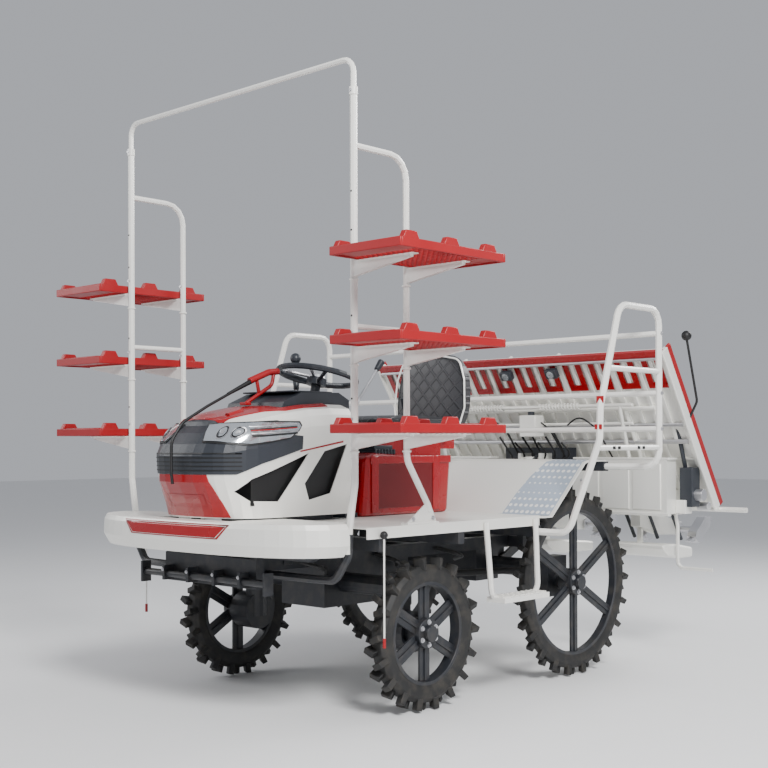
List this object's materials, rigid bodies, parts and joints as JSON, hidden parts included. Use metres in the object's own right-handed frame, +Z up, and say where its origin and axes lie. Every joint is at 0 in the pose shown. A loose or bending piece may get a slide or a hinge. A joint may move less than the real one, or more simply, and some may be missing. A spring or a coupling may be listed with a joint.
{
  "type": "rice transplanter",
  "caption": "Ride-on rice transplanter with spare-seedling racks, tilting hood, rear guard rails, steered front wheels and a rear planting unit on a lifting linkage.",
  "frame": {"origin": "on the ground, under the middle of the outer box", "axes": "+Z up, -Y the way the machine drives, +X its left side"},
  "size_m": [2.24, 3.0507, 2.6285],
  "materials": {
    "ivory_paint": "satin",
    "white_tube": "satin",
    "red_plastic": "matte",
    "red_paint": "gloss",
    "dark_plastic": "matte",
    "chassis_paint": "matte",
    "rubber": "matte",
    "bright_steel": "satin",
    "seat_vinyl": "satin"
  },
  "bodies": {
    "chassis": {"arch_bar": "white_tube", "dash_cowl": "dark_plastic", "engine_block": "chassis_paint", "floor_deck": "ivory_paint", "front_apron": "ivory_paint", "front_bumper": "chassis_paint", "main_frame": "chassis_paint", "rack_frame_left": "white_tube", "rack_frame_right": "white_tube", "rear_axle_case": "chassis_paint", "rear_deck": "ivory_paint", "rear_guard_rail": "white_tube", "seat_back": "seat_vinyl", "seat_cushion": "seat_vinyl", "seat_pedestal": "red_paint", "seedling_tray_left_lower": "red_plastic", "seedling_tray_left_middle": "red_plastic", "seedling_tray_left_upper": "red_plastic", "seedling_tray_right_lower": "red_plastic", "seedling_tray_right_middle": "red_plastic", "seedling_tray_right_upper": "red_plastic", "side_step_left": "white_tube", "side_step_right": "white_tube", "transmission_case": "chassis_paint"},
    "hood": {"hood_shell": "ivory_paint", "hood_top_panel": "red_paint", "hood_nose": "dark_plastic", "hood_grille": "red_paint", "centre_marker": "red_plastic"},
    "steering_wheel": {"steering_wheel": "dark_plastic"},
    "front_knuckle_left": {"front_knuckle_left": "chassis_paint"},
    "front_knuckle_right": {"front_knuckle_right": "chassis_paint"},
    "front_wheel_left": {"front_wheel_left": "rubber"},
    "front_wheel_right": {"front_wheel_right": "rubber"},
    "rear_wheel_left": {"rear_wheel_left": "rubber"},
    "rear_wheel_right": {"rear_wheel_right": "rubber"},
    "lower_lift_arms": {"lower_lift_arms": "chassis_paint"},
    "top_link": {"top_link": "chassis_paint"},
    "lift_cylinder": {"lift_cylinder": "chassis_paint"},
    "lift_cylinder_rod": {"lift_cylinder_rod": "bright_steel"},
    "planting_frame": {"planting_frame": "ivory_paint", "planting_cover_left": "ivory_paint", "planting_cover_right": "ivory_paint", "planting_float_left": "ivory_paint", "planting_float_centre": "ivory_paint", "planting_float_right": "ivory_paint"},
    "seedling_platform": {"seedling_platform": "ivory_paint"},
    "planting_rotor_left": {"planting_rotor_left": "bright_steel"},
    "planting_rotor_centre": {"planting_rotor_centre": "bright_steel"},
    "planting_rotor_right": {"planting_rotor_right": "bright_steel"}
  },
  "joints": [
    {"name": "hood_hinge", "type": "hinge", "parent": "chassis", "child": "hood", "pos_m": [0, -1.405, 0.845], "axis": [1, 0, 0], "range_deg": [0, 55]},
    {"name": "kingpin_left", "type": "hinge", "parent": "chassis", "child": "front_knuckle_left", "pos_m": [0.47, -0.67, 0.325], "axis": [0, 0, 1], "range_deg": [-35, 35]},
    {"name": "kingpin_right", "type": "hinge", "parent": "chassis", "child": "front_knuckle_right", "pos_m": [-0.47, -0.67, 0.325], "axis": [0, 0, 1], "range_deg": [-35, 35]},
    {"name": "steering_column", "type": "hinge", "parent": "chassis", "child": "steering_wheel", "pos_m": [0, -0.705, 1.435], "axis": [0, 0.225, 0.9744], "range_deg": [-420, 420]},
    {"name": "front_wheel_spin_left", "type": "hinge", "parent": "front_knuckle_left", "child": "front_wheel_left", "pos_m": [0.61, -0.67, 0.325], "axis": [1, 0, 0], "continuous": true},
    {"name": "rear_wheel_spin_left", "type": "hinge", "parent": "chassis", "child": "rear_wheel_left", "pos_m": [0.61, 0.43, 0.45], "axis": [1, 0, 0], "continuous": true},
    {"name": "front_wheel_spin_right", "type": "hinge", "parent": "front_knuckle_right", "child": "front_wheel_right", "pos_m": [-0.61, -0.67, 0.325], "axis": [1, 0, 0], "continuous": true},
    {"name": "rear_wheel_spin_right", "type": "hinge", "parent": "chassis", "child": "rear_wheel_right", "pos_m": [-0.61, 0.43, 0.45], "axis": [1, 0, 0], "continuous": true},
    {"name": "lift_lower_pivot", "type": "hinge", "parent": "chassis", "child": "lower_lift_arms", "pos_m": [0, 0.53, 0.52], "axis": [1, 0, 0], "range_deg": [-49, 0]},
    {"name": "lift_upper_pivot", "type": "hinge", "parent": "chassis", "child": "top_link", "pos_m": [0, 0.53, 0.84], "axis": [1, 0, 0], "range_deg": [-49, 0]},
    {"name": "unit_pivot", "type": "hinge", "parent": "lower_lift_arms", "child": "planting_frame", "pos_m": [0, 0.93, 0.72], "axis": [1, 0, 0], "range_deg": [0, 49]},
    {"name": "cylinder_pivot", "type": "hinge", "parent": "chassis", "child": "lift_cylinder", "pos_m": [0, 0.53, 0.565], "axis": [1, 0, 0], "range_deg": [-39.2, 0]},
    {"name": "cylinder_stroke", "type": "slide", "parent": "lift_cylinder", "child": "lift_cylinder_rod", "axis": [0, 0.6854, 0.7282], "range_m": [-0.167, 0]},
    {"name": "platform_slide", "type": "slide", "parent": "planting_frame", "child": "seedling_platform", "axis": [1, 0, 0], "range_m": [-0.14, 0.14]},
    {"name": "rotor_spin_right", "type": "hinge", "parent": "planting_frame", "child": "planting_rotor_right", "pos_m": [-0.6, 1.4, 0.66], "axis": [1, 0, 0], "continuous": true},
    {"name": "rotor_spin_centre", "type": "hinge", "parent": "planting_frame", "child": "planting_rotor_centre", "pos_m": [0, 1.4, 0.66], "axis": [1, 0, 0], "continuous": true},
    {"name": "rotor_spin_left", "type": "hinge", "parent": "planting_frame", "child": "planting_rotor_left", "pos_m": [0.6, 1.4, 0.66], "axis": [1, 0, 0], "continuous": true}
  ],
  "couplings": [
    {"joint": "kingpin_right", "follows": "kingpin_left", "ratio": 1},
    {"joint": "steering_column", "follows": "kingpin_left", "ratio": 12},
    {"joint": "lift_upper_pivot", "follows": "lift_lower_pivot", "ratio": 1},
    {"joint": "unit_pivot", "follows": "lift_lower_pivot", "ratio": -1},
    {"joint": "cylinder_pivot", "follows": "lift_lower_pivot", "ratio": 0.8},
    {"joint": "cylinder_stroke", "follows": "lift_lower_pivot", "m_per_rad": 0.195}
  ]
}
